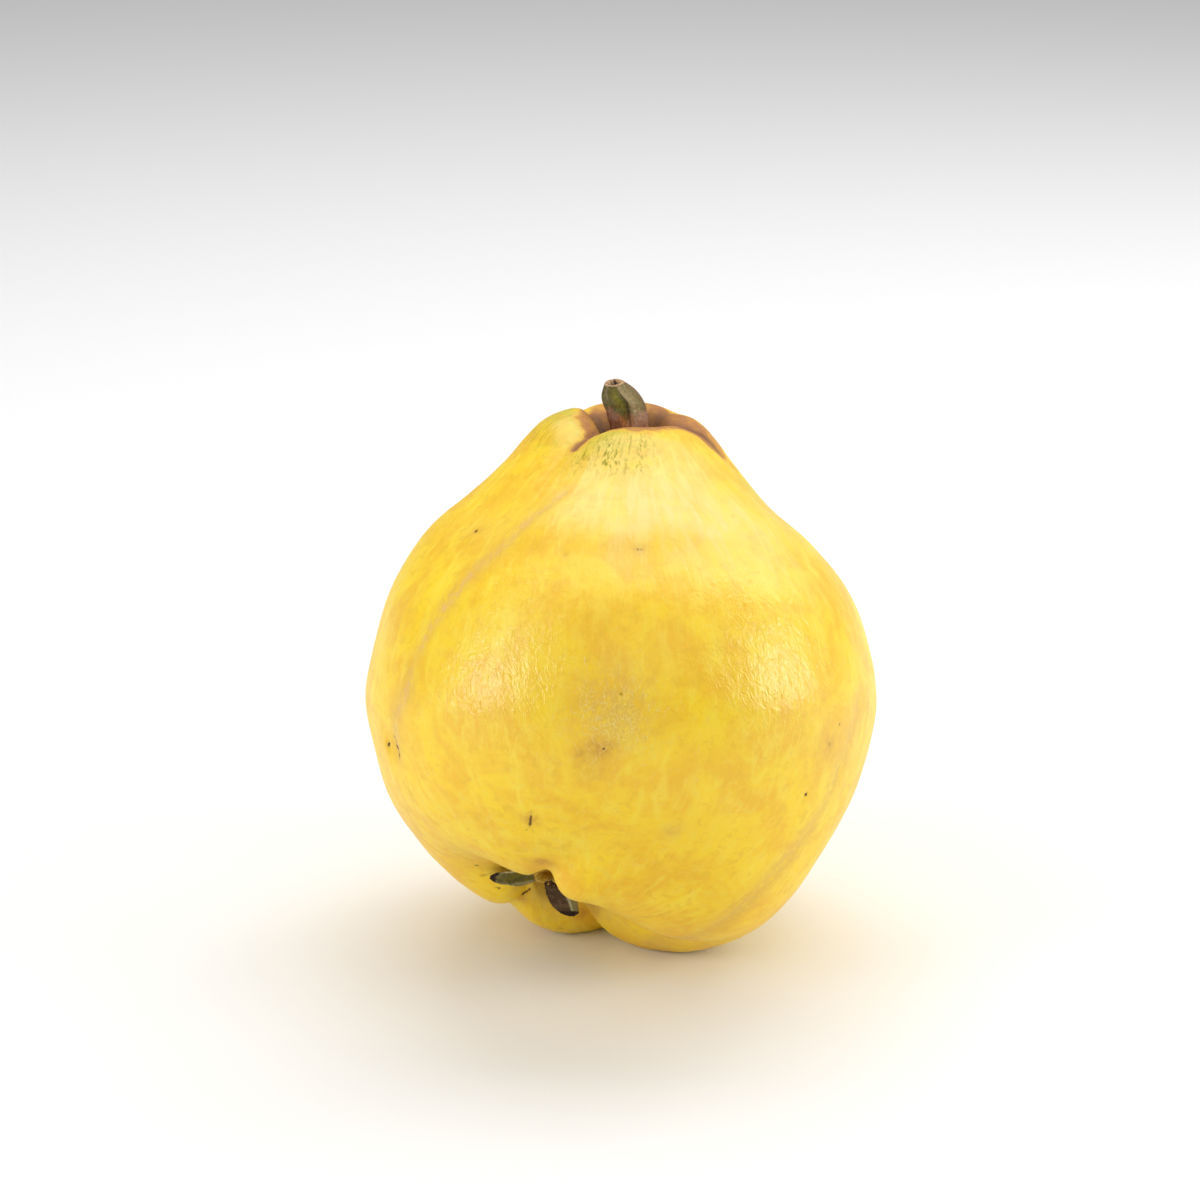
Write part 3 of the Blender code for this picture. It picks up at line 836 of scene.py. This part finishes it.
def fine_sepal(number, sepal):
    """One sepal with its nerves, its torn edge and tip, and its colours."""
    azimuth, length, half_width, rise, end_rise, roll = sepal
    start, bend = radians(rise), radians(end_rise - rise)
    t, turn, faces = ball(110, 64, mirrored=True)
    side = np.sin(np.radians(turn))
    face = np.cos(np.radians(turn))
    flat = np.stack([t * length, side * half_width, np.zeros_like(t)], axis=1)
    ragged = noise(flat + number * 17, 0.9, 71, 3)
    curl = noise(flat + number * 23, 3.0, 72, 2)
    width = half_width * np.sin(pi * t**0.8) ** (0.36 if number < 2 else 0.5)
    saw = (t * SEPAL_TEETH * 1.7 + 0.3 * curl) % 1 - 0.5
    torn = 0.04 + 0.08 * smooth_step((t - 0.7) / 0.2)
    width = width * (1 + 0.05 * saw * smooth_step(3 * t) + torn * ragged)
    nerves = np.abs(np.sin(pi * (side * 2.6 - 0.35 * np.sign(side) * t)))
    midrib = hump(side, 0, 0.1) * (1 - 0.6 * t)
    thick = 0.5 * SEPAL_THICKNESS * np.sign(face) * np.abs(face) ** 0.5 * np.sin(pi * t) ** 0.25
    thick = thick * (0.75 + 0.25 * curl) - 0.05 * np.sign(face) * (1 - nerves) - 0.14 * midrib * (face < 0)
    angle = start + bend * t
    out = SEPAL_ROOT + length * (np.sin(angle) - sin(start)) / bend
    up = SEPAL_FOOT - length * (np.cos(angle) - cos(start)) / bend
    lift = SEPAL_CHANNEL * side**2 * np.sin(pi * t) + thick + 0.22 * curl * side**2
    out = out - lift * np.sin(angle) + 0.25 * ragged * smooth_step((t - 0.8) / 0.2)
    up = up + lift * np.cos(angle) - width * side * sin(radians(roll))
    a = radians(azimuth)
    across = width * side * cos(radians(roll))
    points = np.stack([out * sin(a) + across * cos(a), out * cos(a) - across * sin(a), up], axis=1)

    green, brown, tip_at = SEPAL_TINTS[number]
    margin = smooth_step((np.abs(side) - 0.62 + 0.12 * curl) / 0.25)
    speckle = smooth_step((ragged + 0.1) / 0.9)
    tip = smooth_step((t - tip_at + 0.04 * ragged) / 0.05)
    colours = mixed(
        (0.11, 0.08, 0.04) if number < 3 else (0.7, 0.43, 0.03),
        ((0.165, 0.132, 0.012), green),
        ((0.075, 0.078, 0.014), 0.8 * green * speckle),
        ((0.082, 0.046, 0.02), brown),
        ((0.15, 0.095, 0.05), 0.75 * brown * speckle),
        ((0.34, 0.3, 0.15), 0.8 * green * margin * (1 - 0.4 * speckle)),
        ((0.27, 0.24, 0.115), 0.4 * green * smooth_step((t - 0.62) / 0.2) * (1 - 0.5 * speckle)),
        ((0.33, 0.14, 0.035), 0.9 * smooth_step((0.16 - t) / 0.1)),
        ((0.03, 0.013, 0.009), tip),
        ((0.01, 0.006, 0.004), 0.5 * tip * speckle),
    )
    if number == 0:
        cream = margin * (side > 0) * smooth_step((noise(flat, 1.6, 73, 2) - 0.05) / 0.25)
        cream = np.maximum(cream, hump(t, 0.22, 0.09) * smooth_step((side - 0.1 + 0.4 * ragged) / 0.3))
        colours = mixed(colours, ((0.56, 0.45, 0.23), 0.9 * cream * (1 - tip)))
    if number == 1:
        colours = mixed(colours, ((0.225, 0.185, 0.06), smooth_step((-side - 0.34) / 0.1) * (1 - tip) * 0.9),
                        ((0.56, 0.54, 0.3), hump(side, -0.34, 0.07) * (1 - tip)))
    return points, faces, colours


def ring_cup():
    """The ring that the sepals grow from, rough with dry tissue."""
    t, azimuth, faces = ball(60, 96, mirrored=True)
    radius, height = smooth_path(RING_OUTLINE, t).T
    points = polar(radius, np.radians(azimuth), height)
    rough = noise(points, 0.8, 81, 3)
    points = points * (1 + 0.06 * rough[:, None])
    colours = mixed((0.62, 0.36, 0.04), ((0.3, 0.14, 0.03), smooth_step(rough)),
                    # Painted shade, darker towards the middle of the cup under the tuft.
                    ((0.035, 0.02, 0.012), smooth_step((2.2 - radius) / 0.6)))
    return points, faces, colours


def add_dry(name, parts, replaced):
    """One dry piece made of several (points, faces, colours)."""
    faces, count = [], 0
    for some_points, some_faces, _ in parts:
        faces += [tuple(i + count for i in face) for face in some_faces]
        count += len(some_points)
    points, colours = (np.vstack([part[k] for part in parts]) for k in (0, 2))
    piece = add_piece(name, place(points, SEAT), faces, dry_look(name), replaced)
    paint_tint(piece, colours)


def fine_calyx():
    """All the sepals and their ring as one dry piece."""
    parts = [ring_cup()] + [fine_sepal(number, sepal) for number, sepal in enumerate(SEPALS)]
    add_dry("calyx_sepals", parts, "calyx")


def thread(path, radii, sides=7):
    """A closed tube along a path of points, with rounded ends."""
    run = unit(np.gradient(path, axis=0))
    first = unit(np.cross(run, (0.31, 0.87, 0.39)))
    second = np.cross(run, first)
    turn = np.arange(sides) * 2 * pi / sides
    hoops = (path[:, None] + radii[:, None, None] * (
        first[:, None] * np.cos(turn)[:, None] + second[:, None] * np.sin(turn)[:, None]))
    points = np.vstack([path[:1], hoops.reshape(-1, 3), path[-1:]])
    return points, ball_faces(len(path) + 1, sides, mirrored=True)


def fine_stamens():
    """The tuft: curved dry filaments with shrunken anthers on a rough boss."""
    draw = np.random.default_rng(5)
    t, azimuth, faces = ball(30, 48, mirrored=True)
    height = TUFT_FOOT + 0.45 + 0.55 * np.cos(pi * t)
    boss = polar(TUFT_RADIUS * np.sin(pi * t), np.radians(azimuth), height)
    rough = noise(boss, 0.5, 91, 2)
    boss += 0.12 * rough[:, None]
    parts = [(boss, faces, mixed((0.12, 0.055, 0.012), ((0.3, 0.13, 0.02), smooth_step(rough))))]
    for i in range(STAMENS):
        ring = ((i + 0.5) / STAMENS) ** 0.5
        lean = radians(30) * ring
        length = STAMEN_LENGTH * (1 + 0.15 * sin(2.4 * i))
        foot = 0.75 * TUFT_RADIUS * ring
        s = np.linspace(0, 1, 14)
        reach = foot + length * s * np.sin(lean * (0.6 + 0.7 * s))
        swing = radians(GOLDEN_ANGLE * i) + 0.25 * s**2 * draw.uniform(-1, 1)
        height = TUFT_FOOT + 0.4 + length * s * cos(lean)
        radii = 0.15 * (1 - 0.25 * s) + 0.18 * hump(s, 0.9, 0.08)
        radii[0] = radii[-1] = 0.02
        points, faces = thread(polar(reach, swing, height), radii)
        dry = noise(points + i * 9, 0.4, 92, 2)
        level = (points[:, 2] - TUFT_FOOT) / STAMEN_LENGTH
        parts.append((points, faces, mixed((0.2, 0.09, 0.015), ((0.32, 0.16, 0.03), smooth_step(dry)),
                                           ((0.08, 0.035, 0.012), smooth_step((level - 0.8) / 0.15)))))
    add_dry("stamen_tuft", parts, "stamens")


def dry_look(name):
    """Matt, grainy dry tissue over the tint on the mesh."""
    look = Look(name)
    spot_at = look.position()
    grain = look.noise(spot_at, 2400, 4, 0.65)
    speck = look.noise(spot_at, 5200, 2, 0.6)
    tint = look.attribute("tint", "Color")
    look.set("Base Color", look.layered(
        tint,
        (look.toned(tint, 0.5), look.span(grain, 0.52, 0.36, 0.0, 0.8)),
        (look.toned(tint, 1.9, 0.8), look.span(speck, 0.54, 0.72, 0.0, 0.75)),
    ))
    look.set("Roughness", look.span(grain, 0.3, 0.7, 0.7, 0.9))
    look.set("Specular IOR Level", 0.2)
    normal = look.bump(grain, 0.0002, 0.8)
    look.set("Normal", look.bump(speck, 0.0001, 0.5, normal))
    return look.material


# -------- down

# Where the hairs lie: azimuth, t, reach in degrees of azimuth, reach in t, hairs, half the width of a hair.
DOWN_PATCHES = (
    (-2, 0.555, 9, 0.035, 300, 0.04), (4, 0.6, 36, 0.09, 150, 0.018), (-20, 0.72, 50, 0.1, 110, 0.018),
    (24, 0.8, 60, 0.08, 90, 0.018), (-100, 0.92, 120, 0.04, 500, 0.022), (180, 0.55, 130, 0.2, 350, 0.018),
)
HAIR_STEPS = 5
# The way over the skin from the stem to the calyx, and the degrees in a radian.
SKIN_LENGTH = 135.0
RADIAN = 57.3


def down(points, normals):
    """The remains of the down: short bent hairs that lie over the skin."""
    draw = np.random.default_rng(23)
    grids = [values[1:-1].reshape(SKIN_RINGS - 1, SKIN_SEGMENTS, 3) for values in (points, normals)]

    def over_skin(t, azimuth, height):
        """Points at a height over the skin, in millimetres, and the way the skin faces there."""
        row = np.clip(t * SKIN_RINGS - 1, 0, SKIN_RINGS - 2.001)
        column = azimuth % 360 / 360 * SKIN_SEGMENTS
        r, c = row.astype(int), column.astype(int)
        fr, fc = (row - r)[..., None], (column - c)[..., None]
        at = []
        for grid in grids:
            top, low = (grid[k, c % SKIN_SEGMENTS] * (1 - fc) + grid[k, (c + 1) % SKIN_SEGMENTS] * fc
                        for k in (r, r + 1))
            at.append(top * (1 - fr) + low * fr)
        return at[0] + at[1] * height[..., None] * MM, at[1]

    t, azimuth, half = [], [], []
    for around, level, wide, deep, hairs, thick in DOWN_PATCHES:
        half.append(draw.uniform(0.6, 1.2, hairs) * thick)
        azimuth.append(draw.normal(around, wide / 2, hairs))
        t.append(draw.normal(level, deep / 1.5, hairs))
    t = np.clip(np.concatenate(t), 0.1, 0.985)
    azimuth = np.concatenate(azimuth)
    count = len(t)

    s = np.linspace(0, 1, HAIR_STEPS)[None]
    length = draw.uniform(0.6, 1.9, count)[:, None]
    heading = draw.normal(0, 0.9, count)[:, None] + draw.normal(0, 1.3, count)[:, None] * s
    levels = np.linspace(0, 1, 21)
    girth = np.maximum(np.interp(t, levels, smooth_path(OUTLINE, levels)[:, 0]), 4.0)[:, None]
    down_run = np.cumsum(np.cos(heading), axis=1) / HAIR_STEPS * length / SKIN_LENGTH
    side_run = np.cumsum(np.sin(heading), axis=1) / HAIR_STEPS * length / girth * RADIAN
    rise = 0.01 + 0.09 * draw.uniform(0.2, 1, count)[:, None] * np.sin(pi * 0.9 * s)
    middle, normal = over_skin(np.clip(t[:, None] + down_run, 0, 1), azimuth[:, None] + side_run, rise)
    sideways = np.cross(np.gradient(middle, axis=1), normal)
    sideways /= np.linalg.norm(sideways, axis=2)[..., None] + 1e-12
    half = (np.concatenate(half)[:, None] * (1 - 0.8 * s**2))[..., None] * MM
    points = np.stack([middle - sideways * half, middle + sideways * half], axis=2).reshape(-1, 3)
    faces = []
    for first in range(0, len(points), 2 * HAIR_STEPS):
        faces += [(k, k + 1, k + 3, k + 2) for k in range(first, first + 2 * HAIR_STEPS - 2, 2)]
    piece = add_piece("down", points, faces, down_look())
    paint(piece, "shade", np.repeat(draw.uniform(0, 1, count), 2 * HAIR_STEPS))


def down_look():
    look = Look("down")
    fade = look.noise(look.position(), 220, 2, 0.5)
    look.set("Base Color", look.layered((0.94, 0.72, 0.13), ((0.95, 0.79, 0.34), look.attribute("shade")),
                                        ((0.94, 0.76, 0.2), look.span(fade, 0.45, 0.65))))
    look.set("Roughness", 0.6)
    look.set("Sheen Weight", 0.3)
    return look.material


# -------- lights, floor and camera

# Panels of soft light: azimuth and elevation of each, its width and height in metres, and its brightness.
PANELS = {
    "overhead": (174, 65, 0.8, 0.5, 2.9),
    "right_side": (76, 19, 0.34, 0.4, 5.2),
    "left_side": (-65, 19, 0.34, 0.4, 4.8),
    "right_above": (125, 38, 0.42, 0.4, 2.0),
    "left_above": (-72, 50, 0.4, 0.4, 1.3),
    "front_above": (20, 52, 0.5, 0.4, 0.75),
}
PANEL_AWAY = 0.8
WORLD_LIGHT = 0.39
FLOOR_REACH = 3.0
# The camera looks at this point, in millimetres from the middle of the core, from this many metres off.
VIEW_LEFT, VIEW_UP = 3.86, 15.79
VIEW_AWAY = 0.585


def studio():
    """The lights, the pale floor and the camera, which looks square at the leaning core."""
    middle = GROWTH.translation
    for name, (azimuth, elevation, width, height, brightness) in PANELS.items():
        light = bpy.data.lights.new(name, "AREA")
        light.shape = "RECTANGLE"
        light.size, light.size_y = width, height
        light.energy = brightness * pi * width * height
        lamp = add_object(name, light)
        out = Vector(direction(azimuth, elevation))
        lamp.location = middle + out * PANEL_AWAY
        lamp.rotation_euler = out.to_track_quat("Z", "Y").to_euler()

    world = bpy.data.worlds.new("white")
    bpy.context.scene.world = world
    world.use_nodes = True
    background = world.node_tree.nodes["Background"].inputs
    background["Color"].default_value = (1, 1, 1, 1)
    background["Strength"].default_value = WORLD_LIGHT

    mesh = bpy.data.meshes.new("floor")
    r = FLOOR_REACH
    mesh.from_pydata([(-r, -r, 0), (r, -r, 0), (r, r, 0), (-r, r, 0)], [], [(0, 1, 2, 3)])
    floor = add_object("floor", mesh)
    paper = Look("floor_paper")
    paper.set("Base Color", (0.9, 0.9, 0.9))
    paper.set("Roughness", 0.9)
    mesh.materials.append(paper.material)

    camera = bpy.data.cameras.new("camera")
    camera.lens = 100
    camera.clip_start = 0.02
    eye = add_object("camera", camera)
    lift = radians(LEAN_BACK)
    back = Vector((0, -cos(lift), sin(lift)))
    up = Vector((0, sin(lift), cos(lift)))
    target = middle - Vector((1, 0, 0)) * VIEW_LEFT * MM + up * VIEW_UP * MM
    eye.location = target + back * VIEW_AWAY
    eye.rotation_euler = (-back).to_track_quat("-Z", "Y").to_euler()
    bpy.context.scene.camera = eye
    bpy.context.scene.view_settings.view_transform = "Standard"


studio()
down(*fine_fruit())
fine_stem()
fine_calyx()
fine_stamens()
